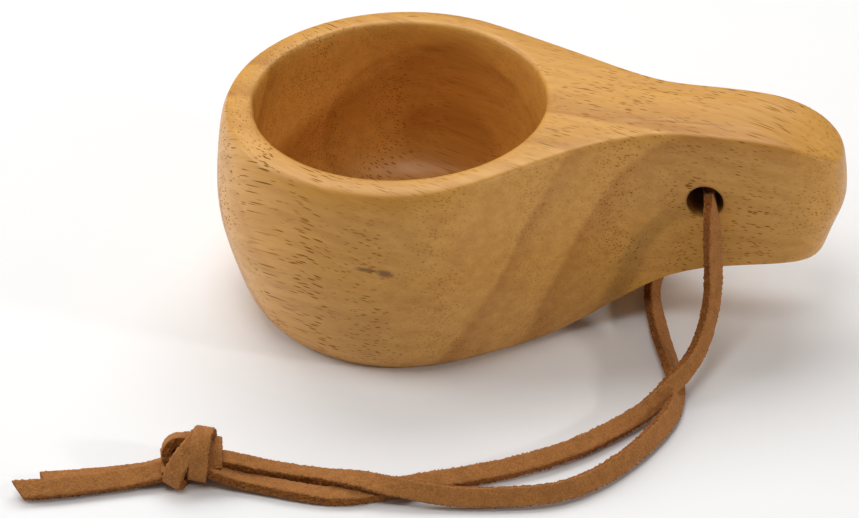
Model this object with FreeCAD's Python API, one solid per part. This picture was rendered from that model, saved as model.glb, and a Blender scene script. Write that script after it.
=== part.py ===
"""Carved wooden drinking cup (a kuksa) with a leather carrying lace.

Millimetres. The origin is the centre of the foot on the bowl's axis, +X runs
along the handle to its tip, +Z is up, and the lace lies on the -Y side on the
surface that the cup stands on.

The cup is carved from one block. Its outer skin is one smooth surface, laid out
as a boat builder lays out a hull: rings of guide points, from the mouth over the
rim, down the sides and under to the foot. Each ring is a round bowl that draws in
through the neck to the handle.
"""
import math
import os

import FreeCAD
import Part

V = FreeCAD.Vector

# ---- the bowl
RIM_HEIGHT = 51.5            # foot to rim
RIM_RADIUS = 40.0            # outside of the bowl at the rim
BELLY_RADIUS = 43.0          # outside of the bowl at its widest
FOOT_RADIUS = 35.4           # where the bowl rounds into its flat foot
MOUTH_RADIUS = 33.6          # clear mouth
CAVITY_RADIUS = 35.0         # inside of the bowl at its widest
CAVITY_DEPTH = 42.0
CAVITY_FLOOR = 13.0          # radius of the flat floor inside
CAVITY_WALL = ((0.77, 0.0), (0.97, 0.17), (1.017, 0.40), (1.0, 0.66))  # shares of radius and depth
LIP_ROUND = 1.8              # rounding of the inner lip

# ---- the handle
HANDLE_REACH = 102.8         # bowl axis to the tip
HANDLE_HALF = 10.9           # half width at the top edge
RIDGE_OUT = 1.5              # how far the side stands out at its ridge
TIP_LENGTH = 15.2            # length over which the tip rounds in, seen from above
TIP_UNDERCUT = 4.7           # how far the end slopes back towards the lower edge
TIP_THICKNESS = 34.6         # height of the handle at the tip
NECK_ANGLE = 69.0            # where the neck leaves the round of the bowl
NECK_SHARE = 0.69            # part of the handle's length that the neck takes, at the top edge
NECK_SHARE_UNDER = 0.84      # and underneath, where it stays full for longer
NECK_PULL = 0.23             # how long the neck keeps the bowl's and the handle's direction
NECK_LEAN = 2.6              # how far the neck leans to +Y, as carved by hand
DROOP_START = 80.5           # the top falls away beyond here
DROOP = 8.6                  # by this much at the tip
CROWN = 0.9                  # how far the middle of the handle's top stands above its edges

# ---- the sides as guide rings, downwards: how far each stands out from the belly, its height as a
# ---- share of the rim's height, how far it stands out from the handle's top edge, how far its tip
# ---- stands out from the reach, how far down the handle it runs, and its neck's share
SIDES = (
    (0.6, 0.60, 1.2, 0.4, 0.40, 0.71),
    (-0.1, 0.43, 0.5, -1.7, 0.62, 0.73),
    (-2.6, 0.24, -0.7, -3.5, 0.85, 0.77),
    (-4.6, 0.10, -1.3, -4.8, 1.0, 0.78),
)
FOOT_HALF = 0.95             # half width of the turn under the handle, as a share of the handle's

# ---- edge softness: spacing of the guide rings each side of the top edge
SOFT_EDGE = 1.6              # round the bowl
CRISP_EDGE = 1.6             # along the handle

# ---- the hole through the handle
HOLE_DIAMETER = 8.4
HOLE_X = 71.0
HOLE_HEIGHT = 34.4
HOLE_ROUND = 1.4             # rounding at its two mouths

# ---- the lace
LACE = 3.4                   # a round of about the same section as the flat lace
KNOT = (13.6, 12.0)          # length and height of the knot
KNOT_AT = (-35.2, -79.4)

# The lace is one strip. It passes through the hole, and both legs fall to the ground
# on the -Y side, cross twice and run through the knot to the two tails.
NEAR_LEG = (
    (71.2, 0.0, 33.6), (71.9, -7.0, 34.5), (72.8, -15.0, 34.2), (73.3, -17.8, 29.2),
    (73.7, -18.9, 23.6), (74.0, -20.3, 17.6), (73.5, -24.2, 12.8), (72.4, -29.2, 9.6),
    (70.4, -34.6, 7.2), (67.0, -40.6, 5.8), (61.3, -47.4, 2.6), (53.2, -56.3, 1.75),
    (43.9, -64.4, 1.75), (32.5, -70.9, 1.75), (20.4, -75.6, 1.75), (9.5, -79.6, 1.75),
    (-1.5, -83.8, 1.75), (-12.5, -83.2, 1.75), (-21.4, -81.8, 2.0), (-30.0, -80.8, 3.2),
)
FAR_LEG = (
    (71.2, 0.0, 33.6), (70.5, 7.0, 32.8), (69.9, 14.8, 32.4), (69.0, 18.0, 27.8),
    (67.8, 18.9, 22.0), (66.2, 18.4, 16.2), (64.0, 15.8, 10.6), (61.8, 11.2, 5.8),
    (60.4, 5.0, 2.8), (59.8, -3.2, 1.75), (60.4, -11.2, 1.75), (62.3, -19.4, 1.75),
    (65.0, -28.4, 1.75), (67.6, -38.2, 1.75), (67.2, -48.0, 1.75), (62.6, -58.6, 1.75),
    (55.2, -70.0, 1.75), (45.6, -78.2, 1.75), (34.2, -81.4, 1.75), (23.2, -83.0, 3.0),
    (12.4, -81.9, 5.5), (3.6, -79.2, 5.5), (-6.2, -77.0, 3.2), (-17.8, -76.4, 2.2),
    (-29.2, -76.6, 4.2),
)
UPPER_TAIL = (
    (-36.6, -77.6, 5.0), (-40.6, -78.0, 3.8), (-46.6, -79.6, 2.2), (-54.0, -81.8, 1.75), (-61.4, -83.9, 1.75),
    (-67.4, -85.3, 1.75),
)
LOWER_TAIL = (
    (-40.6, -82.0, 3.2), (-47.4, -83.8, 2.0), (-55.6, -86.2, 1.75), (-64.2, -88.3, 1.75),
    (-71.8, -89.9, 1.75),
)

# ---- guide net
BOWL_STEPS = 30
NECK_STEPS = 8
GRIP_STEPS = 2
TIP_STEPS = 4
CROWDING = 1.9               # how strongly the round rings' points crowd towards the handle
CLEAR = 10.0                 # how far cutting tools run past the wood


def bezier(points, t):
    """A point on the cubic curve through four (a, b) guide points."""
    weights = ((1 - t) ** 3, 3 * t * (1 - t) ** 2, 3 * t * t * (1 - t), t ** 3)
    return tuple(sum(w * p[i] for w, p in zip(weights, points)) for i in (0, 1))


def ease(value):
    """0 below 0, 1 above 1, smooth between."""
    value = min(1.0, max(0.0, value))
    return value * value * (3 - 2 * value)


UNDERSIDE = (                # the keel line, from under the bowl to the lower tip
    (FOOT_RADIUS - 2.0, -1.5),
    (FOOT_RADIUS + 2.0, -1.5),
    (0.66 * HANDLE_REACH, RIM_HEIGHT - TIP_THICKNESS + 5.4),
    (HANDLE_REACH - TIP_UNDERCUT, RIM_HEIGHT - TIP_THICKNESS),
)


def keel(x):
    """Height of the underside at x."""
    low, high = 0.0, 1.0
    if x <= UNDERSIDE[0][0]:
        return UNDERSIDE[0][1]
    for _ in range(40):
        middle = (low + high) / 2
        if bezier(UNDERSIDE, middle)[0] < x:
            low = middle
        else:
            high = middle
    return bezier(UNDERSIDE, low)[1]


def crest(x):
    """Height of the top at x: level, then falling away at the tip."""
    past = max(0.0, x - DROOP_START) / (HANDLE_REACH - DROOP_START)
    return RIM_HEIGHT - DROOP * past ** 2


def lean(x, start, reach):
    """1 at the middle of the neck, 0 on the bowl and at the tip, smooth between."""
    share = (x - start) / max(reach - start, 1.0)
    return ease(share / 0.35) * (1 - ease((share - 0.35) / 0.65))


def teardrop(radius, half, reach, neck_share=NECK_SHARE):
    """One ring seen from above: the bowl's arc, the neck, the grip and the tip.

    Points run from the middle of the bowl's far end, round the -Y side to the
    tip and back along the +Y side.
    """
    angle = math.radians(NECK_ANGLE)
    start = (radius * math.cos(angle), radius * math.sin(angle))
    tip = min(TIP_LENGTH, 0.5 * (reach - start[0]))
    grip = start[0] + neck_share * (reach - tip - start[0])
    pull = NECK_PULL * (grip - start[0])
    neck = (start, (start[0] + pull * math.sin(angle), start[1] - pull * math.cos(angle)),
            (grip - 1.2 * pull, half), (grip, half))
    side = []
    for step in range(BOWL_STEPS // 2):
        turn = math.pi + (angle - math.pi) * step / (BOWL_STEPS / 2)
        side.append((radius * math.cos(turn), radius * math.sin(turn)))
    side += [bezier(neck, step / NECK_STEPS) for step in range(NECK_STEPS)]
    for step in range(GRIP_STEPS):
        side.append((grip + (reach - tip - grip) * step / GRIP_STEPS, half))
    for step in range(TIP_STEPS + 1):
        turn = 0.5 * math.pi * step / TIP_STEPS
        side.append((reach - tip + tip * math.sin(turn) ** 0.75,
                     half * math.cos(turn) ** 0.75 if step < TIP_STEPS else 0.0))
    ring = [(x, -y) for x, y in side] + side[-2:0:-1]
    return [(x, y + NECK_LEAN * lean(x, start[0], reach)) for x, y in ring]


def circle(radius):
    """The same ring drawn in to a plain circle, its points crowded towards the handle's line."""
    angle = math.radians(NECK_ANGLE)
    handle_steps = 2 * (NECK_STEPS + GRIP_STEPS + TIP_STEPS)
    points = []
    for step in range(BOWL_STEPS + 1):
        turn = angle + (2 * math.pi - 2 * angle) * step / BOWL_STEPS
        points.append((radius * math.cos(turn), radius * math.sin(turn)))
    for step in range(1, handle_steps):
        share = 2 * step / handle_steps - 1
        turn = math.copysign(angle * abs(share) ** CROWDING, share)
        points.append((radius * math.cos(turn), radius * math.sin(turn)))
    middle = BOWL_STEPS // 2
    return points[middle:] + points[:middle]


def level(points, height):
    return [V(x, y, height) for x, y in points]


def handle_share(x):
    """0 on the bowl, 1 on the handle."""
    start = 0.2 * BELLY_RADIUS
    return ease((x - start) / (0.62 * HANDLE_REACH - start))


def side_ring(radius, height, half, reach, share, neck_share=NECK_SHARE_UNDER):
    """A ring on the sides: share is how far down the handle it runs, 0 to 1."""
    ring = []
    for x, y in teardrop(radius, half, reach, neck_share):
        on_handle = crest(x) - share * (crest(x) - keel(x))
        blend = handle_share(x)
        ring.append(V(x, y, height * (1 - blend) + on_handle * blend))
    return ring


def edge_ring(inset, fall, inset_handle, fall_handle):
    """A ring at the top edge: how far in and down it is, on the bowl and on the handle."""
    ring = []
    outline = teardrop(RIM_RADIUS - inset, HANDLE_HALF - inset_handle, HANDLE_REACH - 1.0 - inset_handle)
    for x, y in outline:
        blend = handle_share(x)
        ring.append(V(x, y, crest(x) - fall * (1 - blend) - fall_handle * blend))
    return ring


def top_ring(share):
    """A ring on the level top: how far it is from the cavity's lip to the top edge, 0 to 1."""
    inner = circle(MOUTH_RADIUS + 1.2 * LIP_ROUND)
    outer = edge_ring(0.42 * (RIM_RADIUS - MOUTH_RADIUS), 0.0, 3 * CRISP_EDGE, 0.0)
    start = RIM_RADIUS * math.cos(math.radians(NECK_ANGLE))
    reach = outer[len(outer) // 2].x
    ring = []
    for (x, y), edge in zip(inner, outer):
        on_x = x + share * (edge.x - x)
        aside = NECK_LEAN * (lean(on_x, start, reach) - share * lean(edge.x, start, reach))
        crown = CROWN * ease((on_x / HANDLE_REACH - 0.5) / 0.25)
        ring.append(V(on_x, y + share * (edge.y - y) + aside, crest(on_x) + crown))
    return ring


def guide_rings():
    """Every ring of guide points, from the floor of the cavity over the rim to under the foot."""
    belly = BELLY_RADIUS
    half = HANDLE_HALF
    floor = RIM_HEIGHT - CAVITY_DEPTH
    mouth = MOUTH_RADIUS
    rim = RIM_RADIUS - MOUTH_RADIUS
    lip = LIP_ROUND
    return [
        level(circle(0.6 * CAVITY_FLOOR), floor),
        level(circle(CAVITY_FLOOR), floor),
        *[level(circle(wide * CAVITY_RADIUS), floor + high * CAVITY_DEPTH) for wide, high in CAVITY_WALL],
        level(circle(mouth), RIM_HEIGHT - 2.4 * lip),
        level(circle(mouth), RIM_HEIGHT - 1.2 * lip),
        level(circle(mouth + 0.1 * lip), RIM_HEIGHT),
        level(circle(mouth + 1.2 * lip), RIM_HEIGHT),
        top_ring(0.4),
        top_ring(0.75),
        edge_ring(0.42 * rim, 0.0, 3 * CRISP_EDGE, 0.0),
        edge_ring(0.2 * rim, 0.2, CRISP_EDGE, 0.0),
        edge_ring(0.0, 0.35 * SOFT_EDGE, 0.0, 0.0),
        edge_ring(-0.3 * SOFT_EDGE, 1.2 * SOFT_EDGE, -0.2 * RIDGE_OUT, CRISP_EDGE),
        edge_ring(0.35 * (RIM_RADIUS - belly) - 0.3 * SOFT_EDGE, 2.4 * SOFT_EDGE,
                  -0.5 * RIDGE_OUT, 2.5 * CRISP_EDGE),
        *[side_ring(belly + out, high * RIM_HEIGHT, half + wide, HANDLE_REACH + long, share, neck)
          for out, high, wide, long, share, neck in SIDES],
        side_ring(FOOT_RADIUS, 0.2, FOOT_HALF * half, HANDLE_REACH - TIP_UNDERCUT - 4, 1.0),
        side_ring(FOOT_RADIUS - 3.5, -1.5, 0.55 * half, 0.78 * HANDLE_REACH, 1.0),
        side_ring(FOOT_RADIUS - 10.0, -3.0, 0.55 * half, 0.56 * HANDLE_REACH, 1.0),
        level(circle(FOOT_RADIUS - 18.0), -4.0),
    ]


def skin():
    """The whole surface of the cup, inside and out, as a closed solid before its foot is cut flat."""
    rings = guide_rings()
    columns = len(rings[0])
    poles = [[ring[column] for ring in rings] for column in range(columns)]
    across = len(rings) - 3
    surface = Part.BSplineSurface()
    surface.buildFromPolesMultsKnots(
        poles, [1] * (columns + 1), [4] + [1] * (across - 1) + [4],
        list(range(columns + 1)), list(range(across + 1)), True, False, 3, 3)
    caps = [Part.Face(Part.Wire(surface.vIso(v).toShape())) for v in (0, across)]
    shell = Part.Shell([surface.toShape()] + caps)
    shell.sewShape()
    return Part.Solid(shell)


def hole():
    """The drilled hole with its two rounded mouths, along Y."""
    radius = HOLE_DIAMETER / 2
    mouth = HANDLE_HALF + RIDGE_OUT
    inner = mouth - HOLE_ROUND
    flare = radius + HOLE_ROUND
    at_45 = HOLE_ROUND * math.sqrt(0.5)
    far = mouth + CLEAR
    edges = [
        Part.LineSegment(V(0, 0, 0), V(radius, 0, 0)).toShape(),
        Part.LineSegment(V(radius, 0, 0), V(radius, inner, 0)).toShape(),
        Part.Arc(V(radius, inner, 0), V(flare - at_45, inner + at_45, 0), V(flare, mouth, 0)).toShape(),
        Part.LineSegment(V(flare, mouth, 0), V(flare, far, 0)).toShape(),
        Part.LineSegment(V(flare, far, 0), V(0, far, 0)).toShape(),
        Part.LineSegment(V(0, far, 0), V(0, 0, 0)).toShape(),
    ]
    half = Part.Face(Part.Wire(edges)).revolve(V(0, 0, 0), V(0, 1, 0), 360)
    both = half.fuse(half.mirror(V(0, 0, 0), V(0, 1, 0))).removeSplitter()
    both.translate(V(HOLE_X, 0, HOLE_HEIGHT))
    return both


def cup():
    """The wooden cup: the skin, less what is under the foot and the hole."""
    reach = HANDLE_REACH + BELLY_RADIUS + 2 * CLEAR
    under = Part.makeBox(reach, 4 * BELLY_RADIUS, CLEAR,
                         V(-BELLY_RADIUS - CLEAR, -2 * BELLY_RADIUS, -CLEAR))
    return skin().cut(under).cut(hole()).Solids[0]


def tube(name, route):
    """A round tube along the route: straight runs joined by tangent arcs."""
    points = [V(*point) for point in route]
    edges = []
    start = points[0]
    for before, corner, after in zip(points, points[1:], points[2:]):
        come = (corner - before).normalize()
        leave = (after - corner).normalize()
        half_turn = come.getAngle(leave) / 2
        reach = 0.45 * min((corner - before).Length, (after - corner).Length)
        radius = reach / math.tan(half_turn)
        inward = (leave - come).normalize()
        arc_in = corner - come * reach
        arc_out = corner + leave * reach
        arc_middle = corner + inward * (math.hypot(radius, reach) - radius)
        edges.append(Part.LineSegment(start, arc_in).toShape())
        edges.append(Part.Arc(arc_in, arc_middle, arc_out).toShape())
        start = arc_out
        print(name, "bend radius", round(radius, 1), "turn", round(math.degrees(2 * half_turn)))
    edges.append(Part.LineSegment(start, points[-1]).toShape())
    path = Part.Wire(edges)
    section = Part.Wire(Part.Circle(points[0], points[1] - points[0], LACE / 2).toShape())
    solid = path.makePipeShell([section], True, False)
    expected = math.pi * LACE ** 2 / 4 * path.Length
    print(name, "length", round(path.Length, 1), "volume over section times length",
          round(solid.Volume / expected, 3), "valid", solid.isValid())
    return solid


def knot(strands):
    """The knot as a barrel lying along X on the ground, with the four strands let into it."""
    length, height = KNOT
    x, y = KNOT_AT
    end = 0.55 * height / 2
    edges = [
        Part.LineSegment(V(-length / 2, 0, 0), V(-length / 2, 0, end)).toShape(),
        Part.Arc(V(-length / 2, 0, end), V(0, 0, height / 2), V(length / 2, 0, end)).toShape(),
        Part.LineSegment(V(length / 2, 0, end), V(length / 2, 0, 0)).toShape(),
        Part.LineSegment(V(length / 2, 0, 0), V(-length / 2, 0, 0)).toShape(),
    ]
    barrel = Part.Face(Part.Wire(edges)).revolve(V(0, 0, 0), V(1, 0, 0), 360)
    barrel.translate(V(x, y, height / 2))
    for strand in strands:
        barrel = barrel.cut(strand)
    return barrel.Solids[0]


def build():
    """Every sub-part by name."""
    parts = {"cup_body": cup()}
    strands = {
        "lace_near_leg": tube("near leg", NEAR_LEG),
        "lace_far_leg": tube("far leg", FAR_LEG),
        "lace_upper_tail": tube("upper tail", UPPER_TAIL),
        "lace_lower_tail": tube("lower tail", LOWER_TAIL),
    }
    parts["lace_knot"] = knot(strands.values())
    parts.update(strands)
    return parts


if __name__ == "__main__":
    os.makedirs("parts", exist_ok=True)
    for name, solid in build().items():
        box = solid.optimalBoundingBox(False)
        print(name, solid.ShapeType, solid.isValid(), "volume", round(solid.Volume, 1), box)
        solid.exportStep(f"parts/{name}.step")
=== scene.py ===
"""A carved wooden drinking cup with a knotted suede lace, lit in a small studio."""

import math

import bpy
import numpy as np
from bpy.props import FloatProperty, FloatVectorProperty, IntProperty, PointerProperty
from mathutils import Matrix, Vector, noise


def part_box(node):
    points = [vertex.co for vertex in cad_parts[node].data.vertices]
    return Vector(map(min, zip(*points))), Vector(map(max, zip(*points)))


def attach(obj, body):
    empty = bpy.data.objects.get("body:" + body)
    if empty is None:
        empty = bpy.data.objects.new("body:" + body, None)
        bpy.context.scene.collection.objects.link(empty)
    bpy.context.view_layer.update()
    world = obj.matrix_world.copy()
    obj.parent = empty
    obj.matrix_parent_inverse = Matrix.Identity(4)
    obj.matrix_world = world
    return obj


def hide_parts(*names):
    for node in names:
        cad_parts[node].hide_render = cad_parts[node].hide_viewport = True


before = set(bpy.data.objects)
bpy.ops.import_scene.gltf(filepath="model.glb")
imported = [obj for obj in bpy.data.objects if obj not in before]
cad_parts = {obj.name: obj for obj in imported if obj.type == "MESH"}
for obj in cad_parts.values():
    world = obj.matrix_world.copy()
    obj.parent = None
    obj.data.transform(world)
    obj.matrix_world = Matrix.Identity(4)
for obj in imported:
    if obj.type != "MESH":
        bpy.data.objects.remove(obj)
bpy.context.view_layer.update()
CUP_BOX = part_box("cup_body")
KNOT_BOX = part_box("lace_knot")

bl_info = {
    "name": "Kuksa cup with suede lace",
    "version": (1, 0, 0),
    "blender": (4, 5, 0),
    "location": "View3D > Sidebar > Kuksa",
    "description": "Builds the lace, the finishes and the studio of a carved wooden cup",
    "category": "Object",
}

# The routes of the lace, from the hole in the handle to the knot, and from the knot to the
# two loose ends. Each is the list of control points of one smooth curve, in metres.
NEAR_LEG = (
    (0.0712, 0.0, 0.0336),
    (0.0719, -0.007, 0.0345),
    (0.0728, -0.015, 0.0342),
    (0.0733, -0.0178, 0.0292),
    (0.0737, -0.0189, 0.0236),
    (0.074, -0.0203, 0.0176),
    (0.0735, -0.0242, 0.0128),
    (0.0724, -0.0292, 0.0096),
    (0.0704, -0.0346, 0.0072),
    (0.067, -0.0406, 0.0058),
    (0.0613, -0.0474, 0.0026),
    (0.0532, -0.0563, 0.00175),
    (0.0439, -0.0644, 0.00175),
    (0.0325, -0.0709, 0.00175),
    (0.0204, -0.0756, 0.00175),
    (0.0095, -0.0796, 0.00175),
    (-0.0015, -0.0836, 0.00175),
    (-0.0125, -0.0826, 0.00175),
    (-0.0214, -0.0808, 0.002),
    (-0.0335, -0.0798, 0.0044),
)
FAR_LEG = (
    (0.0712, 0.0, 0.0336),
    (0.0705, 0.007, 0.0328),
    (0.0699, 0.0148, 0.0324),
    (0.0688, 0.018, 0.0278),
    (0.0672, 0.0189, 0.022),
    (0.0652, 0.0184, 0.0162),
    (0.0626, 0.0158, 0.0106),
    (0.0602, 0.0112, 0.0058),
    (0.0588, 0.005, 0.0028),
    (0.0588, -0.0032, 0.00175),
    (0.0604, -0.0112, 0.00175),
    (0.0623, -0.0194, 0.00175),
    (0.065, -0.0284, 0.00175),
    (0.0676, -0.0382, 0.00175),
    (0.0672, -0.048, 0.00175),
    (0.0626, -0.0586, 0.00175),
    (0.0552, -0.07, 0.00175),
    (0.0456, -0.0782, 0.00175),
    (0.0342, -0.0808, 0.00175),
    (0.0232, -0.082, 0.0028),
    (0.0124, -0.0822, 0.0041),
    (0.0036, -0.081, 0.0042),
    (-0.0062, -0.0786, 0.0034),
    (-0.0178, -0.0766, 0.0028),
    (-0.0325, -0.0772, 0.005),
)
UPPER_TAIL = (
    (-0.0366, -0.0778, 0.0048),
    (-0.0406, -0.0782, 0.0036),
    (-0.0466, -0.0796, 0.0022),
    (-0.054, -0.0818, 0.00175),
    (-0.0614, -0.0839, 0.00175),
    (-0.0674, -0.0853, 0.00175),
)
LOWER_TAIL = (
    (-0.0406, -0.0808, 0.0038),
    (-0.0474, -0.0828, 0.0026),
    (-0.0556, -0.0856, 0.00175),
    (-0.0642, -0.0883, 0.00175),
    (-0.0718, -0.0899, 0.00175),
)

# Which way the lace's broad face looks at shares of each route's length.
NEAR_FACES = (
    (0.0, (0.95, 0.0, 0.3)),
    (0.07, (0.85, -0.45, 0.2)),
    (0.14, (0.745, -0.666, 0.0)),
    (0.3, (0.72, -0.62, 0.3)),
    (0.4, (0.3, -0.5, 0.8)),
    (0.47, (0.1, -0.42, 0.9)),
    (0.75, (0.0, -0.35, 0.93)),
    (0.86, (0.0, 0.1, 1.0)),
    (1.0, (0.0, 0.2, 1.0)),
)
FAR_FACES = (
    (0.0, (0.95, 0.0, 0.3)),
    (0.08, (0.95, 0.1, 0.2)),
    (0.15, (0.7, -0.7, 0.0)),
    (0.34, (0.6, -0.5, 0.6)),
    (0.5, (0.8, -0.2, 0.55)),
    (0.6, (0.6, -0.6, 0.5)),
    (0.7, (0.2, -0.8, 0.55)),
    (0.8, (0.0, -0.75, 0.6)),
    (0.88, (0.0, 0.1, 1.0)),
    (1.0, (0.0, 0.0, 1.0)),
)
UPPER_FACES = (
    (0.0, (0.0, 0.1, 1.0)),
    (1.0, (0.0, -0.1, 1.0)),
)
LOWER_FACES = (
    (0.0, (0.0, -0.5, 0.9)),
    (1.0, (0.0, -0.55, 0.85)),
)

# The bands of the knot, each a closed loop of the lace. The numbers are millimetres from the
# floor under the knot's middle: along the lace, towards the near side, and up.
KNOT_BANDS = {
    "front": (
        (1.2, 2.6, 1.2),
        (1.8, 3.9, 4.2),
        (2.3, 3.8, 7.4),
        (2.8, 1.2, 10.9),
        (3.4, -2.8, 10.7),
        (3.6, -5.6, 6.8),
        (3.2, -4.8, 2.2),
        (2.0, -1.4, 0.5),
    ),
    "slant": (
        (1.2, 0.2, 8.8),
        (-0.8, 2.6, 7.9),
        (-2.9, 4.2, 5.4),
        (-3.9, 4.6, 2.6),
        (-3.7, 3.2, 0.5),
        (-1.2, -1.2, 0.3),
        (0.6, -4.8, 2.6),
        (2.0, -5.4, 6.0),
        (2.2, -2.8, 8.8),
    ),
    "ring": (
        (1.0, -2.4, 5.2),
        (-0.3, -2.6, 7.5),
        (-2.5, -2.8, 8.5),
        (-4.7, -2.2, 7.5),
        (-5.6, -1.4, 5.2),
        (-4.7, -0.2, 3.0),
        (-2.5, 0.2, 2.0),
        (-0.3, -0.8, 3.0),
    ),
    "back": (
        (4.6, 1.0, 2.2),
        (5.0, 1.6, 4.6),
        (5.0, -0.6, 7.2),
        (4.8, -3.4, 7.3),
        (4.4, -5.0, 4.4),
        (4.4, -3.8, 1.4),
        (4.5, -0.8, 0.9),
    ),
}
# What the bands are tied round: the lace's own stretches inside the knot.
KNOT_CORES = (
    ((6.5, -3.4, 5.0), (2.0, -2.8, 5.2), (-2.0, -1.6, 5.2), (-6.2, -1.0, 4.6)),
    ((6.5, 0.6, 3.2), (2.0, 1.0, 3.4), (-2.0, 1.2, 3.4), (-6.2, 1.6, 3.0)),
    ((1.5, -4.4, 6.2), (-1.0, -4.6, 6.4), (-3.0, -4.6, 5.6), (-4.8, -4.0, 4.4)),
)
# How far the whole knot is moved, in the same three directions.
KNOT_SHIFT = (-0.4, -0.6, 0.7)
# The knot's directions in the frame: along the lace, towards the near side, and up.
KNOT_ALONG = (0.987, 0.160, 0.0)
KNOT_NEAR = (0.160, -0.987, 0.0)
KNOT_UP = (0.0, 0.0, 1.0)

# Steps round a quarter of a rounded edge, steps from one control point of a curve to the next,
# and the fewest steps along a whole curve.
CORNER_STEPS = 4
CURVE_STEPS = 24
FEWEST_STEPS = 8
# A curve's order: how many control points each stretch of it follows.
ROUTE_ORDER = 3
BAND_ORDER = 4
# A stretch of the edge belongs to a cut side where it looks sideways by more than this cosine.
SIDE_COSINE = 0.75
# The nap's two sizes of bump, as noise scales, their shares, and the broad faces' part of it.
COARSE_NAP = 1500.0
COARSE_SHARE = 0.8
FINE_NAP = 4200.0
FINE_SHARE = 0.9
FINE_PLACE = Vector((3.1, 7.7, 1.3))
NAP_ON_FACES = 0.45
# A cut end: the size of its inner rim beside the strap's own outline, and how far that rim and
# the middle stand out, in metres.
END_INSET = 0.86
END_RIM = 0.00012
END_MIDDLE = 0.00018
# Where the lace lies down: its gap to the floor, the height above which it is left free, the
# height over which it is let go, and how many points the correction is smoothed over.
FLOOR_GAP = 0.0002
FREE_ABOVE = 0.0040
LET_GO_OVER = 0.0018
SMOOTHED_OVER = 21

# The suede of the broad faces and of the cut sides: how fine its specks and patches are, how far
# its tone goes to each side, and the depth of its nap in metres.
FACE_SUEDE = {"speck": 2700.0, "patch": 500.0, "spread": 0.24, "depth": 0.0004}
SIDE_SUEDE = {"speck": 2700.0, "patch": 900.0, "spread": 0.55, "depth": 0.0006}
PATCH_SHARE = 0.3
SPECK_SHARE = 0.7
# The pattern's values that become the darkest and the lightest tone, and their roughness.
SUEDE_CONTRAST = (0.38, 0.62)
SUEDE_ROUGHNESS = (0.95, 0.78)

# Growth rings: how far each lies along the ring direction in millimetres, how dark it is, and
# how many millimetres its dark wood takes to fade.
GROWTH_RINGS = (
    (-44.5, 0.4, 9.0),
    (-31.6, 0.85, 11.0),
    (-17.3, 0.95, 14.0),
    (17.7, 0.7, 9.0),
    (31.0, 0.85, 12.0),
)
# The direction in which the rings follow one another.
RING_DIRECTION = (0.196, 1.0, 0.092)
# How far a ring moves with the square of the height, for each metre.
RING_BEND = -9.76
# The rings are placed over this many millimetres to each side of the bowl's axis.
RING_SPAN = 60.0
# How dark the wood is at the two ends of the pattern, just before a ring and after its fade.
END_TONES = (0.35, 0.3)
BEFORE_RING = 0.12
AFTER_RING = 0.08
# A ring turns dark between these two shares of the pattern, before and after its place.
EDGE_BEFORE = 0.007
EDGE_AFTER = 0.005
# This far along its fade, a ring has this part of its darkness left.
MID_FADE = 0.45
# A fade ends at least this many millimetres before the next ring.
RING_GAP = 0.8

# Dark flecks in the wood: their two ends and their half width, in millimetres.
FLECKS = (
    ((-5.0, -43.0, 33.3), (1.6, -43.1, 32.9), 0.75),
    ((0.2, -43.1, 32.8), (5.2, -42.9, 31.9), 1.25),
    ((69.1, -3.4, 51.5), (77.2, -7.6, 51.2), 0.3),
    ((85.7, -0.8, 50.6), (90.0, -3.8, 49.4), 0.35),
    ((37.4, 8.7, 51.5), (46.4, 6.4, 51.5), 0.2),
    ((52.8, 4.0, 51.6), (55.6, 3.1, 51.6), 0.3),
    ((42.0, -0.5, 51.5), (47.6, -1.7, 51.6), 0.2),
    ((34.1, -9.4, 51.5), (38.3, -10.7, 51.5), 0.22),
    ((32.3, -15.0, 51.5), (38.6, -17.7, 51.5), 0.22),
    ((69.3, 8.4, 51.5), (75.4, 5.0, 51.6), 0.25),
    ((61.7, -2.7, 51.8), (64.4, -3.8, 51.8), 0.2),
    ((4.1, 34.6, 35.8), (13.7, 32.0, 36.6), 0.28),
    ((5.6, 34.5, 33.7), (16.8, 30.6, 35.1), 0.4),
    ((3.0, 35.0, 31.2), (11.5, 33.2, 31.7), 0.3),
    ((11.0, 33.3, 31.3), (19.3, 29.3, 32.7), 0.35),
    ((5.9, 34.7, 28.5), (17.2, 30.7, 30.5), 0.28),
    ((6.9, 34.4, 26.4), (16.1, 31.3, 27.8), 0.25),
    ((12.5, 32.8, 25.7), (20.6, 28.5, 27.5), 0.22),
)
# How strongly a fleck covers the wood, where its edge starts and is full as shares of its half
# size, and how ragged the fibres make it.
FLECK_STRENGTH = 0.8
FLECK_EDGE = (1.3, 0.7)
FLECK_RAGGED = 0.6

# How the fibres run: their turn about the upright, and their slope down towards the handle.
GRAIN_TURN = math.radians(17)
GRAIN_SLOPE = 0.15
# On the other side of the bowl's axis they curl towards +Y and downwards: how far from the axis
# each curl starts, in metres, and how strong it is.
CURL_ACROSS = (0.004, -10.0)
CURL_DOWN = (0.0125, 17.5)
# How often each pattern changes in a metre, along the fibres and in the two directions across.
WAVER_SCALE = (10.0, 26.0, 26.0)
STREAK_SCALE = (22.0, 420.0, 420.0)
FIBRE_SCALE = (120.0, 2400.0, 2400.0)
CLOUD_SCALE = 32.0
# How far the growth rings waver, in metres.
RING_WAVER = 0.004
# How much each pattern darkens the wood, and how dark it is without them.
RING_TONE = 0.72
STREAK_TONE = 1.15
FIBRE_TONE = 0.5
CLOUD_TONE = 0.35
BASE_TONE = 0.08
# Two kinds of pore: their smallest and largest half size as shares of their spacing, and how
# often they crowd in a metre, along the fibres and across them.
SHORT_PORES = ((0.14, 0.42), (30.0, 80.0))
LONG_PORES = ((0.05, 0.2), (14.0, 48.0))
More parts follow.
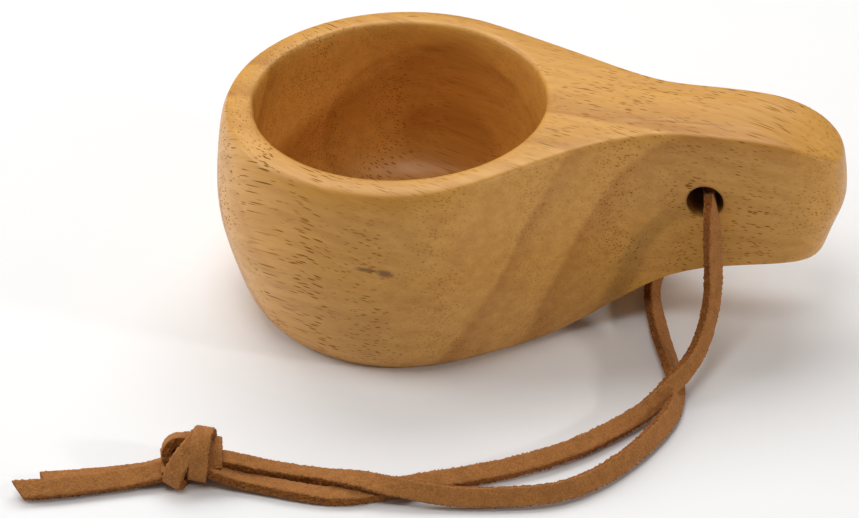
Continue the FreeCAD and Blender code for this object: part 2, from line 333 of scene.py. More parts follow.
# How strongly a pore covers the wood, where its edge starts and is full as shares of its half
# size, and which values of the crowding pattern give the faintest and the strongest pores.
PORE_STRENGTH = 0.9
PORE_EDGE = (1.0, 0.5)
CROWDED = (0.36, 0.6, 0.35, 1.0)
# The pores are plain to see at the bowl's end and on the handle, and fainter in between: where
# each change starts and ends along X, in metres, and the strengths there.
PORES_AT_BOWL = (-0.012, 0.006, 1.0, 0.5)
PORES_ON_HANDLE = (0.03, 0.05, 0.5, 0.9)
# How each pattern raises or sinks the surface, with its strength and its depth in metres.
FIBRE_RELIEF = 0.35
STREAK_RELIEF = 0.4
PORE_RELIEF = -0.5
RELIEF_STRENGTH = 0.3
RELIEF_DEPTH = 0.00025
# Two values of the streaks and the roughness at each, and the shine of wood with no pores.
STREAK_ROUGHNESS = (0.3, 0.7, 0.36, 0.5)
WOOD_SHINE = 0.3
# A pore at least this strong has no shine.
DULL_PORE = 0.6

# The drilled hole for the lace runs along Y through this point.
HOLE_MIDDLE = (0.071, 0.0, 0.0344)
HOLE_RADIUS = 0.0042
# How dark the shade painted on the hole's wall is. The painted shade starts this far outside its
# radius, in metres, and is full this far inside it.
HOLE_SHADE_STRENGTH = 0.75
HOLE_SHADE_OUTSIDE = 0.0005
HOLE_SHADE_INSIDE = 0.0001

WHITE = (1.0, 1.0, 1.0)
WARM = (1.0, 0.97, 0.93)
# The lights: place, width, height, power in watts and colour.
LIGHTS = {
    "top_softbox": ((-0.1, 0.52, 0.85), 1.1, 0.6, 7.0, WHITE),
    "left_softbox": ((-0.85, 0.0, 0.45), 0.5, 0.6, 4.2, WHITE),
    "overhead_fill": ((-0.03, -0.24, 0.95), 0.4, 0.4, 2.4, WHITE),
    "right_key": ((0.85, -0.27, 0.36), 0.07, 0.07, 1.9, WARM),
}
SENSOR_WIDTH = 36.0
# The floor's faint mottle: how often it changes in a metre, and its darkest share.
FLOOR_MOTTLE = 60.0
FLOOR_SHADE = 0.985
# The body that everything rides on.
BODY = "root"


class CupLook(bpy.types.PropertyGroup):
    """The finish of the wood."""

    light_wood: FloatVectorProperty(
        name="Light wood",
        description="Colour of the wood between the growth rings",
        default=(0.67, 0.335, 0.066),
        size=3,
        min=0.0,
        max=1.0,
        subtype="COLOR",
    )
    dark_wood: FloatVectorProperty(
        name="Dark wood",
        description="Colour of the wood in a growth ring",
        default=(0.43, 0.172, 0.024),
        size=3,
        min=0.0,
        max=1.0,
        subtype="COLOR",
    )
    pore_colour: FloatVectorProperty(
        name="Pores",
        description="Colour of the open pores",
        default=(0.16, 0.058, 0.01),
        size=3,
        min=0.0,
        max=1.0,
        subtype="COLOR",
    )
    pore_spacing: FloatProperty(
        name="Pore spacing",
        description="Distance from one pore to the next along the fibres",
        default=0.014,
        min=0.002,
        max=0.1,
        subtype="DISTANCE",
        unit="LENGTH",
    )
    pore_gap: FloatProperty(
        name="Pore gap",
        description="Distance from one pore to the next across the fibres",
        default=0.00054,
        min=0.0002,
        max=0.01,
        subtype="DISTANCE",
        unit="LENGTH",
    )
    gloss: FloatProperty(
        name="Oil",
        description="How much of the surface shines from the oil",
        default=0.26,
        min=0.0,
        max=1.0,
        subtype="FACTOR",
    )


class LaceLook(bpy.types.PropertyGroup):
    """The size and the finish of the lace."""

    width: FloatProperty(
        name="Width",
        description="Width of the flat lace",
        default=0.0042,
        min=0.001,
        max=0.02,
        subtype="DISTANCE",
        unit="LENGTH",
    )
    thickness: FloatProperty(
        name="Thickness",
        description="Thickness of the flat lace",
        default=0.0023,
        min=0.0005,
        max=0.01,
        subtype="DISTANCE",
        unit="LENGTH",
    )
    rounding: FloatProperty(
        name="Rounding",
        description="Radius of the lace's long edges",
        default=0.00042,
        min=0.0001,
        max=0.002,
        subtype="DISTANCE",
        unit="LENGTH",
    )
    nap: FloatProperty(
        name="Nap",
        description="How far the fuzzy cut sides stand in and out",
        default=0.00036,
        min=0.0,
        max=0.001,
        subtype="DISTANCE",
        unit="LENGTH",
    )
    step: FloatProperty(
        name="Step",
        description="Distance between the rings of points along the lace",
        default=0.00028,
        min=0.0001,
        max=0.002,
        subtype="DISTANCE",
        unit="LENGTH",
    )
    face_colour: FloatVectorProperty(
        name="Broad face",
        description="Colour of the lace's broad faces",
        default=(0.395, 0.163, 0.046),
        size=3,
        min=0.0,
        max=1.0,
        subtype="COLOR",
    )
    side_colour: FloatVectorProperty(
        name="Cut side",
        description="Colour of the lace's narrow cut sides",
        default=(0.30, 0.106, 0.022),
        size=3,
        min=0.0,
        max=1.0,
        subtype="COLOR",
    )


class StudioSetup(bpy.types.PropertyGroup):
    """The camera, the floor and the lights."""

    eye: FloatVectorProperty(
        name="Eye",
        description="Where the camera stands",
        default=(0.09949, -0.57598, 0.41516),
        size=3,
        subtype="TRANSLATION",
        unit="LENGTH",
    )
    aim: FloatVectorProperty(
        name="Aim",
        description="The point that the camera looks at",
        default=(0.009954, -0.025838, 0.025),
        size=3,
        subtype="TRANSLATION",
        unit="LENGTH",
    )
    lean: FloatProperty(
        name="Lean",
        description="How far the camera leans to the right",
        default=math.radians(1.868),
        subtype="ANGLE",
        unit="ROTATION",
    )
    lens: FloatProperty(
        name="Lens",
        description="Focal length in millimetres",
        default=125.83,
        min=20.0,
        max=400.0,
    )
    floor_size: FloatProperty(
        name="Floor",
        description="Width of the floor",
        default=6.0,
        min=1.0,
        max=50.0,
        subtype="DISTANCE",
        unit="LENGTH",
    )
    floor_colour: FloatVectorProperty(
        name="Floor colour",
        description="Colour of the floor",
        default=(0.9, 0.9, 0.9),
        size=3,
        min=0.0,
        max=1.0,
        subtype="COLOR",
    )
    sky: FloatProperty(
        name="Sky",
        description="Strength of the light from all round",
        default=0.13,
        min=0.0,
        max=5.0,
    )
    facets: IntProperty(
        name="Floor facets",
        description="Number of sides of the round floor",
        default=96,
        min=12,
        max=512,
    )


# ---------------------------------------------------------------- node boards


class Board:
    """Places nodes on one node tree and wires them together."""

    def __init__(self, tree):
        self.tree = tree

    def feed(self, target, value):
        """Links the target to a socket, or sets it to a plain value."""
        if isinstance(value, bpy.types.NodeSocket):
            self.tree.links.new(value, target)
        else:
            target.default_value = value

    def place(self, kind, inputs=None, **settings):
        """A new node with its settings and its inputs."""
        node = self.tree.nodes.new(kind)
        for name, value in settings.items():
            setattr(node, name, value)
        for name, value in (inputs or {}).items():
            self.feed(node.inputs[name], value)
        return node

    def math(self, operation, first, second=0.0, third=0.0):
        """The result of one operation on up to three numbers."""
        inputs = {0: first, 1: second, 2: third}
        return self.place("ShaderNodeMath", inputs, operation=operation).outputs[0]

    def stretch(self, vector, scales):
        """The vector with each of its numbers multiplied by its own scale."""
        inputs = {0: vector, 1: scales}
        return self.place("ShaderNodeVectorMath", inputs, operation="MULTIPLY").outputs[0]

    def along(self, vector, direction):
        """How far the vector goes in a direction."""
        inputs = {0: vector, 1: direction}
        return self.place("ShaderNodeVectorMath", inputs, operation="DOT_PRODUCT").outputs["Value"]

    def size(self, vector):
        """The length of the vector."""
        return self.place("ShaderNodeVectorMath", {0: vector}, operation="LENGTH").outputs["Value"]

    def noise(self, vector, scale, detail=2.0, roughness=0.5):
        """A soft random pattern with values from 0 to 1."""
        inputs = {"Vector": vector, "Scale": scale, "Detail": detail, "Roughness": roughness}
        return self.place("ShaderNodeTexNoise", inputs).outputs[0]

    def span(self, value, low, high, to_low=0.0, to_high=1.0):
        """The value moved from one range to another, and held inside it."""
        inputs = {0: value, 1: low, 2: high, 3: to_low, 4: to_high}
        return self.place("ShaderNodeMapRange", inputs).outputs["Result"]

    def ramp(self, share, stops):
        """Grey levels that change from stop to stop."""
        node = self.place("ShaderNodeValToRGB", {"Fac": share})
        elements = node.color_ramp.elements
        for element, (position, level) in zip(elements, (stops[0], stops[-1])):
            element.position = position
            element.color = (level, level, level, 1.0)
        for position, level in stops[1:-1]:
            elements.new(position).color = (level, level, level, 1.0)
        return node.outputs["Color"]

    def blend(self, share, first, second):
        """The first colour, with this share of the second one mixed in."""
        node = self.place("ShaderNodeMix", data_type="RGBA")
        self.feed(node.inputs[0], share)
        self.feed(node.inputs[6], first)
        self.feed(node.inputs[7], second)
        return node.outputs[2]

    def bump(self, height, strength, distance):
        """The surface's direction as a height pattern changes it."""
        inputs = {"Height": height, "Strength": strength, "Distance": distance}
        return self.place("ShaderNodeBump", inputs).outputs["Normal"]


def new_material(name):
    """A material with an empty board, its Principled shader and the object's coordinates."""
    material = bpy.data.materials.new(name)
    material.use_nodes = True
    material.node_tree.nodes.clear()
    board = Board(material.node_tree)
    shader = board.place("ShaderNodeBsdfPrincipled")
    output = board.place("ShaderNodeOutputMaterial")
    material.node_tree.links.new(shader.outputs["BSDF"], output.inputs["Surface"])
    place = board.place("ShaderNodeTexCoord").outputs["Object"]
    return material, board, shader, place


def solid(colour, factor=1.0):
    """The colour, made lighter or darker by the factor, with no transparency."""
    return (colour[0] * factor, colour[1] * factor, colour[2] * factor, 1.0)


# ---------------------------------------------------------------- lace


def read_curve(points, order, closed=False):
    """The points of the smooth curve, open or closed, that has these control points."""
    curve = bpy.data.curves.new("route", "CURVE")
    curve.dimensions = "3D"
    curve.resolution_u = CURVE_STEPS
    spline = curve.splines.new("NURBS")
    spline.points.add(len(points) - 1)
    for target, point in zip(spline.points, points):
        target.co = (point[0], point[1], point[2], 1.0)
    spline.order_u = order
    spline.use_cyclic_u = closed
    spline.use_endpoint_u = not closed
    holder = bpy.data.objects.new("route", curve)
    line_mesh = bpy.data.meshes.new_from_object(holder)
    line = np.array([vertex.co[:] for vertex in line_mesh.vertices])
    bpy.data.meshes.remove(line_mesh)
    bpy.data.objects.remove(holder)
    bpy.data.curves.remove(curve)
    return np.vstack([line, line[:1]]) if closed else line


def even(line, step, closed=False):
    """The same line with its points a step apart."""
    runs = np.linalg.norm(np.diff(line, axis=0), axis=1)
    along = np.concatenate([[0.0], np.cumsum(runs)])
    count = max(FEWEST_STEPS, int(round(along[-1] / step)))
    at = np.linspace(0.0, along[-1], count + 1)
    if closed:
        at = at[:-1]
    return np.stack([np.interp(at, along, line[:, axis]) for axis in range(3)], axis=1)


def unit(vectors):
    """The same directions with a length of one."""
    return vectors / np.maximum(np.linalg.norm(vectors, axis=1, keepdims=True), 1e-12)


def headings(line, closed=False):
    """The direction of the line at each of its points."""
    if closed:
        return unit(np.roll(line, -1, axis=0) - np.roll(line, 1, axis=0))
    return unit(np.gradient(line, axis=0))


def strap_frame(line, normals, closed=False):
    """Three directions at each point: onwards, out of the broad face, and across the lace."""
    ways = headings(line, closed)
    faces = unit(normals - ways * (normals * ways).sum(axis=1, keepdims=True))
    return ways, faces, np.cross(ways, faces)


def strap_section(look):
    """The outline of the lace's cross-section, and which of its points are on a cut side."""
    radius = look.rounding
    half_width = look.width / 2 - radius
    half_height = look.thickness / 2 - radius
    corners = (
        (half_width, half_height, 0.0),
        (-half_width, half_height, 90.0),
        (-half_width, -half_height, 180.0),
        (half_width, -half_height, 270.0),
    )
    outline = []
    sides = []
    for index, (x, y, start) in enumerate(corners):
        for turn in range(CORNER_STEPS + 1):
            angle = math.radians(start + 90.0 * turn / CORNER_STEPS)
            outline.append((x + radius * math.cos(angle), y + radius * math.sin(angle)))
            sides.append(abs(math.cos(angle)) > SIDE_COSINE)
        flat = index % 2 == 0
        run = 2 * half_width if flat else 2 * half_height
        count = max(2, int(round(run / look.step)))
        next_x, next_y, _ = corners[(index + 1) % 4]
        first = np.array(outline[-1])
        last = np.array((next_x + radius * math.cos(angle), next_y + radius * math.sin(angle)))
        for part in range(1, count):
            outline.append(tuple(first + part / count * (last - first)))
            sides.append(not flat)
    return np.array(outline), np.array(sides)


def roughen(points, outward, sides, nap):
    """Pushes the surface in and out as the nap does, more on the cut sides."""
    moved = points.copy()
    for index, (point, way) in enumerate(zip(points, outward)):
        place = Vector(point)
        coarse = noise.noise(place * COARSE_NAP)
        fine = noise.noise(place * FINE_NAP + FINE_PLACE)
        amount = nap if sides[index] else nap * NAP_ON_FACES
        moved[index] = point + way * amount * (COARSE_SHARE * coarse + FINE_SHARE * fine)
    return moved


def cap_end(vertices, faces, rim, way, backwards):
    """Closes one end of the strap with a slightly domed cut face."""
    ends = np.array([vertices[spot] for spot in rim])
    middle = ends.mean(axis=0)
    start = len(vertices)
    count = len(rim)
    for end in ends:
        vertices.append(tuple(middle + END_INSET * (end - middle) + way * END_RIM))
    vertices.append(tuple(middle + way * END_MIDDLE))
    for spot in range(count):
        other = (spot + 1) % count
        outer = (rim[spot], rim[other], start + other, start + spot)
        inner = (start + spot, start + other, start + count)
        faces.append(outer[::-1] if backwards else outer)
        faces.append(inner[::-1] if backwards else inner)


def sweep_strap(name, line, normals, look, closed=False, slant=0.0):
    """A flat strap of lace along a line, with its broad face looking along the normals."""
    ways, faces, across = strap_frame(line, normals, closed)
    outline, side_runs = strap_section(look)
    count = len(outline)
    rings = len(line)
    points = (
        line[:, None, :]
        + across[:, None, :] * outline[None, :, 0:1]
        + faces[:, None, :] * outline[None, :, 1:2]
    )
    if slant:
        reach = np.clip(1.0 - np.arange(rings)[::-1] * look.step / look.width, 0.0, 1.0)
        push = slant * reach[:, None] * outline[None, :, 0]
        points = points + ways[:, None, :] * push[:, :, None]
    outward = unit((points - line[:, None, :]).reshape(-1, 3))
    sides = np.tile(side_runs, rings)
    points = roughen(points.reshape(-1, 3), outward, sides, look.nap)

    vertices = [tuple(point) for point in points]
    polygons = []
    marks = []
    for ring in range(rings if closed else rings - 1):
        here = ring * count
        there = ((ring + 1) % rings) * count
        for spot in range(count):
            other = (spot + 1) % count
            polygons.append((here + spot, here + other, there + other, there + spot))
            marks.append(int(side_runs[spot] and side_runs[other]))
    if not closed:
        last = (rings - 1) * count
        cap_end(vertices, polygons, range(count), -ways[0], True)
        cap_end(vertices, polygons, range(last, last + count), ways[-1], False)
        marks.extend([1] * (len(polygons) - len(marks)))
    mesh = bpy.data.meshes.new(name)
    mesh.from_pydata(vertices, [], polygons)
    mesh.polygons.foreach_set("material_index", marks)
    mesh.polygons.foreach_set("use_smooth", [True] * len(polygons))
    mesh.update()
    return mesh


def face_ways(line, keys):
    """The direction of the broad face at each point, blended between the keys."""
    share = np.linspace(0.0, 1.0, len(line))
    stops = [key[0] for key in keys]
    ways = [np.interp(share, stops, [key[1][axis] for key in keys]) for axis in range(3)]
    return unit(np.stack(ways, axis=1))


def settle(line, normals, look):
    """Lowers or lifts the line where it lies, so that the strap's underside meets the floor."""
    _, faces, across = strap_frame(line, normals)
    half = np.abs(across[:, 2]) * look.width / 2 + np.abs(faces[:, 2]) * look.thickness / 2
    to_floor = FLOOR_GAP - (line[:, 2] - half)
    weight = np.clip((FREE_ABOVE - line[:, 2]) / LET_GO_OVER, 0.0, 1.0)
    shift = np.maximum(to_floor * weight, to_floor)
    padded = np.pad(shift, SMOOTHED_OVER // 2, mode="edge")
    settled = line.copy()
    settled[:, 2] += np.convolve(padded, np.ones(SMOOTHED_OVER) / SMOOTHED_OVER, mode="valid")
    return settled


def suede_group():
    """The nap of suede: a mottled tone and the height of its fibres."""
    group = bpy.data.node_groups.new("Suede nap", "ShaderNodeTree")
    face = group.interface
    face.new_socket("Vector", in_out="INPUT", socket_type="NodeSocketVector")
    face.new_socket("Speck", in_out="INPUT", socket_type="NodeSocketFloat")
    face.new_socket("Patch", in_out="INPUT", socket_type="NodeSocketFloat")
    face.new_socket("Tone", in_out="OUTPUT", socket_type="NodeSocketFloat")
    face.new_socket("Height", in_out="OUTPUT", socket_type="NodeSocketFloat")
    board = Board(group)
    inlet = board.place("NodeGroupInput")
    outlet = board.place("NodeGroupOutput")
    patches = board.noise(inlet.outputs["Vector"], inlet.outputs["Patch"], 3.0)
    specks = board.noise(inlet.outputs["Vector"], inlet.outputs["Speck"], 3.0, 0.65)
    patchy = board.math("MULTIPLY", patches, PATCH_SHARE)
    tone = board.math("MULTIPLY_ADD", specks, SPECK_SHARE, patchy)
    board.feed(outlet.inputs["Tone"], board.span(tone, *SUEDE_CONTRAST))
    board.feed(outlet.inputs["Height"], specks)
    return group


def suede_material(name, group, colour, speck, patch, spread, depth):
    """Suede of one colour, with its own grain size and contrast."""
    material, board, shader, place = new_material(name)
    nap = board.place("ShaderNodeGroup", node_tree=group)
    board.feed(nap.inputs["Vector"], place)
    board.feed(nap.inputs["Speck"], speck)
    board.feed(nap.inputs["Patch"], patch)
    tone = nap.outputs["Tone"]
    shade = board.blend(tone, solid(colour, 1.0 - spread), solid(colour, 1.0 + spread))
    board.feed(shader.inputs["Base Color"], shade)
    board.feed(shader.inputs["Roughness"], board.span(tone, 0.0, 1.0, *SUEDE_ROUGHNESS))
    board.feed(shader.inputs["Normal"], board.bump(nap.outputs["Height"], 0.7, depth))
    shader.inputs["Specular IOR Level"].default_value = 0.1
    shader.inputs["Sheen Weight"].default_value = 0.06
    shader.inputs["Sheen Roughness"].default_value = 0.5
    return material


def lace_materials(look):
    """The broad face's and the cut side's materials, made once."""
    if "suede_face" in bpy.data.materials:
        return bpy.data.materials["suede_face"], bpy.data.materials["suede_cut_side"]
    group = suede_group()
    face = suede_material("suede_face", group, look.face_colour, **FACE_SUEDE)
    side = suede_material("suede_cut_side", group, look.side_colour, **SIDE_SUEDE)
    return face, side


def finish_lace(piece, materials):
    """Gives a piece of lace its materials and its place in the scene and on the body."""
    for material in materials:
        piece.data.materials.append(material)
    bpy.context.scene.collection.objects.link(piece)
    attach(piece, BODY)


class KUKSA_OT_strands(bpy.types.Operator):
    """Lays the two legs and the two loose ends of the lace"""

    bl_idname = "kuksa.strands"
    bl_label = "Lay the lace"

    def execute(self, context):
        look = context.scene.kuksa_lace
        materials = lace_materials(look)
        strands = (
            ("near_leg", NEAR_LEG, NEAR_FACES, "lace_near_leg", 0.0, "knot"),
            ("far_leg", FAR_LEG, FAR_FACES, "lace_far_leg", 0.0, "knot"),
            ("upper_tail", UPPER_TAIL, UPPER_FACES, "lace_upper_tail", 0.35, "bare"),
            ("lower_tail", LOWER_TAIL, LOWER_FACES, "lace_lower_tail", 0.6, "bare"),
        )
        for name, route, faces, node, slant, end in strands:
            line = even(read_curve(route, ROUTE_ORDER), look.step)
            normals = face_ways(line, faces)
            line = settle(line, normals, look)
            mesh = sweep_strap(name, line, normals, look, slant=slant)
            piece = bpy.data.objects.new(name, mesh)
            finish_lace(piece, materials)
            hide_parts(node)
        return {"FINISHED"}


class KUKSA_OT_knot(bpy.types.Operator):
    """Ties the knot from bands of the lace"""

    bl_idname = "kuksa.knot"
    bl_label = "Tie the knot"

    def execute(self, context):
        look = context.scene.kuksa_lace
        materials = lace_materials(look)
        middle = ((KNOT_BOX[0][0] + KNOT_BOX[1][0]) / 2, (KNOT_BOX[0][1] + KNOT_BOX[1][1]) / 2, 0.0)
        turn = np.array((KNOT_ALONG, KNOT_NEAR, KNOT_UP))
        origin = np.array(middle) + np.array(KNOT_SHIFT) @ turn / 1000.0
        parts = []
        for name, band in KNOT_BANDS.items():
            points = origin + np.array(band) @ turn / 1000.0
            line = even(read_curve(points, BAND_ORDER, closed=True), look.step, closed=True)
            normals = unit(line - line.mean(axis=0))
            mesh = sweep_strap("band_" + name, line, normals, look, closed=True)
            parts.append(bpy.data.objects.new("knot_band_" + name, mesh))
        for index, core in enumerate(KNOT_CORES):
            points = origin + np.array(core) @ turn / 1000.0
            line = even(read_curve(points, ROUTE_ORDER), look.step)
            normals = np.tile(KNOT_UP, (len(line), 1))
            mesh = sweep_strap(f"core_{index}", line, normals, look)
            parts.append(bpy.data.objects.new(f"knot_core_{index}", mesh))
        parts[0].name = "overhand_knot"
        for part in parts:
            finish_lace(part, materials)
            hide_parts("lace_knot")
        return {"FINISHED"}


# ---------------------------------------------------------------- wood


def ring_share(at):
    """Where a ring at so many millimetres lies on the ring pattern."""
    return (at + RING_SPAN) / (2 * RING_SPAN)


def ring_stops():
    """The stops of the growth rings' ramp: a sharp dark start and a slow fade."""
    stops = [(0.0, END_TONES[0])]
    limits = [following[0] - RING_GAP for following in GROWTH_RINGS[1:]] + [RING_SPAN]
    for (at, darkness, fade), limit in zip(GROWTH_RINGS, limits):
        share = ring_share(at)
        end = min(ring_share(at + fade), ring_share(limit))
        stops.append((share - EDGE_BEFORE, BEFORE_RING))
        stops.append((share + EDGE_AFTER, darkness))
        stops.append((share + MID_FADE * (end - share), MID_FADE * darkness))
        stops.append((end, AFTER_RING))
    stops.append((1.0, END_TONES[1]))
    return stops


def pore_layer(board, grain, spacing, gap, sizes, crowding):
    """Open pores: thin dark cigars along the fibres, one to a cell, crowded in places."""
    cells = board.stretch(grain, (1 / spacing, 1 / gap, 1 / gap))
    voronoi = board.place("ShaderNodeTexVoronoi", {"Vector": cells, "Scale": 1.0})
    lot = board.along(voronoi.outputs["Color"], (1.0, 0.0, 0.0))
    size = board.span(lot, 0.0, 1.0, *sizes)
    share = board.math("DIVIDE", voronoi.outputs["Distance"], size)
    crowd = board.noise(board.stretch(grain, (crowding[0], crowding[1], crowding[1])), 1.0, 2.0)
    return board.math("MULTIPLY", board.span(share, *PORE_EDGE), board.span(crowd, *CROWDED))


def grain_coordinates(board, place, reach):
    """Coordinates that follow the fibres: turned, sloping and curled at the bowl's end."""
    turned = board.place("ShaderNodeMapping", {"Vector": place}, vector_type="POINT")
    turned.inputs["Rotation"].default_value = (0.0, 0.0, GRAIN_TURN)
    parts = board.place("ShaderNodeSeparateXYZ", {0: turned.outputs["Vector"]}).outputs
    tilted = board.math("MULTIPLY_ADD", reach, GRAIN_SLOPE, parts[2])
    curled = []
    for straight, (start, amount) in ((parts[1], CURL_ACROSS), (tilted, CURL_DOWN)):
        past = board.math("MINIMUM", board.math("ADD", reach, start), 0.0)
        square = board.math("MULTIPLY", past, past)
        curled.append(board.math("MULTIPLY_ADD", square, amount, straight))
    inputs = {0: parts[0], 1: curled[0], 2: curled[1]}
    return board.place("ShaderNodeCombineXYZ", inputs).outputs[0]


def ring_pattern(board, place, grain):
    """How dark the growth rings make each place."""
    waver = board.noise(board.stretch(grain, WAVER_SCALE), 1.0, 3.0)
    shift = board.math("MULTIPLY", board.math("SUBTRACT", waver, 0.5), RING_WAVER)
    level = board.along(place, (0.0, 0.0, 1.0))
    bend = board.math("MULTIPLY", board.math("MULTIPLY", level, level), RING_BEND)
    depth = board.math("ADD", board.along(place, RING_DIRECTION), board.math("ADD", bend, shift))
    half_span = RING_SPAN / 1000.0
    return board.ramp(board.span(depth, -half_span, half_span), ring_stops())


def pore_pattern(board, grain, reach, look):
    """The open pores, small and large, as strong as their place makes them."""
    short = pore_layer(board, grain, look.pore_spacing, look.pore_gap, *SHORT_PORES)
    long = pore_layer(board, grain, look.pore_spacing * 2, look.pore_gap * 2, *LONG_PORES)
    at_bowl = board.span(reach, *PORES_AT_BOWL)
    on_handle = board.span(reach, *PORES_ON_HANDLE)
    plain_to_see = board.math("MAXIMUM", at_bowl, on_handle)
    return board.math("MULTIPLY", board.math("MAXIMUM", short, long), plain_to_see)


def add_flecks(board, place, fibres, colour, dark):
    """The colour with the dark flecks laid over it."""
    for start, end, half_width in FLECKS:
        begin = Vector(start) / 1000.0
        finish = Vector(end) / 1000.0
        way = finish - begin
        across = half_width / 1000.0
        fleck = board.place("ShaderNodeMapping", {"Vector": place}, vector_type="TEXTURE")
        fleck.inputs["Location"].default_value = (begin + finish) / 2
        fleck.inputs["Rotation"].default_value = way.to_track_quat("X", "Z").to_euler()
        fleck.inputs["Scale"].default_value = (way.length / 2, across, across)
        off_middle = board.size(fleck.outputs["Vector"])
        ragged = board.math("MULTIPLY_ADD", fibres, FLECK_RAGGED, off_middle)
        mark = board.span(ragged, *FLECK_EDGE, 0.0, FLECK_STRENGTH)
        colour = board.blend(mark, colour, dark)
    return colour


def paint_hole_shade(board, place, colour, dark):
    """The colour with shade painted on the drilled hole's wall."""
    inputs = {0: place, 1: HOLE_MIDDLE}
    offset = board.place("ShaderNodeVectorMath", inputs, operation="SUBTRACT").outputs[0]
    off_axis = board.size(board.stretch(offset, (1.0, 0.0, 1.0)))
    outer = HOLE_RADIUS + HOLE_SHADE_OUTSIDE
    inner = HOLE_RADIUS - HOLE_SHADE_INSIDE
    # Painted shade: the wall of the hole is darkened where it lies in shade.
    painted_shade = board.span(off_axis, outer, inner, 0.0, HOLE_SHADE_STRENGTH)
    return board.blend(painted_shade, colour, dark)


def wood_material(look):
    """Oiled light hardwood with growth rings, fibres, pores and a few dark flecks."""
    material, board, shader, place = new_material("oiled_hardwood")
    reach = board.along(place, (1.0, 0.0, 0.0))
    grain = grain_coordinates(board, place, reach)
    streaks = board.noise(board.stretch(grain, STREAK_SCALE), 1.0, 3.0, 0.6)
    fibres = board.noise(board.stretch(grain, FIBRE_SCALE), 1.0, 2.0, 0.6)
    clouds = board.noise(place, CLOUD_SCALE, 2.0)
    pores = pore_pattern(board, grain, reach, look)

    tone = board.math("MULTIPLY", ring_pattern(board, place, grain), RING_TONE)
    for pattern, amount in ((streaks, STREAK_TONE), (fibres, FIBRE_TONE), (clouds, CLOUD_TONE)):
        tone = board.math("MULTIPLY_ADD", board.math("SUBTRACT", pattern, 0.5), amount, tone)
    tone = board.span(board.math("ADD", tone, BASE_TONE), 0.0, 1.0)
    dark = solid(look.pore_colour)
    colour = board.blend(tone, solid(look.light_wood), solid(look.dark_wood))
    colour = board.blend(board.math("MULTIPLY", pores, PORE_STRENGTH), colour, dark)
    colour = add_flecks(board, place, fibres, colour, dark)
    # Shade painted into the drilled hole, darkest on its wall.
    colour = paint_hole_shade(board, place, colour, dark)
    board.feed(shader.inputs["Base Color"], colour)

    relief = board.math("MULTIPLY", streaks, STREAK_RELIEF)
    relief = board.math("MULTIPLY_ADD", fibres, FIBRE_RELIEF, relief)
    relief = board.math("MULTIPLY_ADD", pores, PORE_RELIEF, relief)
    board.feed(shader.inputs["Normal"], board.bump(relief, RELIEF_STRENGTH, RELIEF_DEPTH))
    board.feed(shader.inputs["Roughness"], board.span(streaks, *STREAK_ROUGHNESS))
    shine = board.span(pores, 0.0, DULL_PORE, WOOD_SHINE, 0.0)
    oil = board.span(pores, 0.0, DULL_PORE, look.gloss, 0.0)
    board.feed(shader.inputs["Specular IOR Level"], shine)
    board.feed(shader.inputs["Coat Weight"], oil)
    shader.inputs["Coat Roughness"].default_value = 0.35
    return material


class KUKSA_OT_wood(bpy.types.Operator):
    """Gives the carved cup its oiled wood"""

    bl_idname = "kuksa.wood"
    bl_label = "Finish the wood"

    def execute(self, context):
        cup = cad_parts["cup_body"]
        cup.material_slots[0].material = wood_material(context.scene.kuksa_cup)
        return {"FINISHED"}


# ---------------------------------------------------------------- studio


def looking(place, target):
    """Stands at the place and looks at the target, with its top upwards."""
    way = Vector(target) - Vector(place)
    return Matrix.Translation(place) @ way.to_track_quat("-Z", "Y").to_matrix().to_4x4()


def add_light(name, place, target, width, height, power, colour):
    """A soft box that looks at the target."""
    lamp = bpy.data.lights.new(name, "AREA")
    lamp.shape = "RECTANGLE"
    lamp.size = width
    lamp.size_y = height
    lamp.energy = power
    lamp.color = colour
    holder = bpy.data.objects.new(name, lamp)
    holder.matrix_world = looking(place, target)
    bpy.context.scene.collection.objects.link(holder)


def add_camera(setup):
    """The camera, leaning a little to the right."""
    camera = bpy.data.cameras.new("studio_camera")
    camera.lens = setup.lens
    camera.sensor_width = SENSOR_WIDTH
    camera.sensor_fit = "HORIZONTAL"
    holder = bpy.data.objects.new("studio_camera", camera)
    holder.matrix_world = looking(setup.eye, setup.aim) @ Matrix.Rotation(-setup.lean, 4, "Z")
    bpy.context.scene.collection.objects.link(holder)
    bpy.context.scene.camera = holder


def add_floor(setup):
    """A wide round floor of one pale colour."""
    radius = setup.floor_size / 2
    rim = []
    for index in range(setup.facets):
        angle = 2 * math.pi * index / setup.facets
        rim.append((radius * math.cos(angle), radius * math.sin(angle), 0.0))
    mesh = bpy.data.meshes.new("floor")
    mesh.from_pydata(rim, [], [tuple(range(setup.facets))])
    floor = bpy.data.objects.new("floor", mesh)
    material, board, shader, place = new_material("pale_floor")
    shade = solid(setup.floor_colour, FLOOR_SHADE)
    colour = board.blend(board.noise(place, FLOOR_MOTTLE, 3.0), shade, solid(setup.floor_colour))
    board.feed(shader.inputs["Base Color"], colour)
    shader.inputs["Roughness"].default_value = 0.9
    shader.inputs["Specular IOR Level"].default_value = 0.1
    mesh.materials.append(material)
    bpy.context.scene.collection.objects.link(floor)


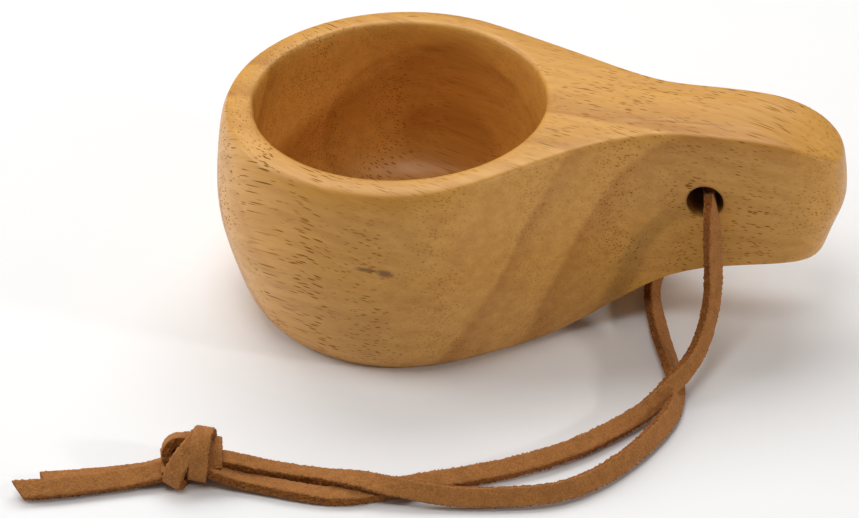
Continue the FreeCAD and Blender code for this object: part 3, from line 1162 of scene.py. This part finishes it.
def add_sky(setup):
    """A plain white sky."""
    world = bpy.data.worlds.new("studio")
    world.use_nodes = True
    back = world.node_tree.nodes["Background"]
    back.inputs["Color"].default_value = solid(WHITE)
    back.inputs["Strength"].default_value = setup.sky
    bpy.context.scene.world = world


class KUKSA_OT_studio(bpy.types.Operator):
    """Sets up the camera, the floor and the lights"""

    bl_idname = "kuksa.studio"
    bl_label = "Set up the studio"

    def execute(self, context):
        setup = context.scene.kuksa_studio
        add_camera(setup)
        add_floor(setup)
        middle = ((CUP_BOX[0][0] + CUP_BOX[1][0]) / 2, 0.0, CUP_BOX[1][2] / 2)
        for name, (place, width, height, power, colour) in LIGHTS.items():
            add_light(name, place, middle, width, height, power, colour)
        add_sky(setup)
        context.scene.view_settings.view_transform = "Standard"
        return {"FINISHED"}


class KUKSA_PT_panel(bpy.types.Panel):
    """Lists the cup's sizes, colours and building steps"""

    bl_idname = "KUKSA_PT_panel"
    bl_label = "Kuksa"
    bl_space_type = "VIEW_3D"
    bl_region_type = "UI"
    bl_category = "Kuksa"

    def draw(self, context):
        layout = self.layout
        for group in ("kuksa_studio", "kuksa_lace", "kuksa_cup"):
            settings = getattr(context.scene, group)
            box = layout.box()
            for name in settings.bl_rna.properties.keys():
                if name not in {"rna_type", "name"}:
                    box.prop(settings, name)
        for step in STEPS:
            layout.operator(step.bl_idname)


STEPS = (KUKSA_OT_studio, KUKSA_OT_strands, KUKSA_OT_knot, KUKSA_OT_wood)
CLASSES = (CupLook, LaceLook, StudioSetup, *STEPS, KUKSA_PT_panel)


def register():
    for item in CLASSES:
        bpy.utils.register_class(item)
    bpy.types.Scene.kuksa_cup = PointerProperty(type=CupLook)
    bpy.types.Scene.kuksa_lace = PointerProperty(type=LaceLook)
    bpy.types.Scene.kuksa_studio = PointerProperty(type=StudioSetup)


def unregister():
    del bpy.types.Scene.kuksa_studio
    del bpy.types.Scene.kuksa_lace
    del bpy.types.Scene.kuksa_cup
    for item in reversed(CLASSES):
        bpy.utils.unregister_class(item)


def main():
    register()
    bpy.ops.kuksa.studio()
    bpy.ops.kuksa.strands()
    bpy.ops.kuksa.knot()
    bpy.ops.kuksa.wood()


if __name__ == "__main__":
    main()
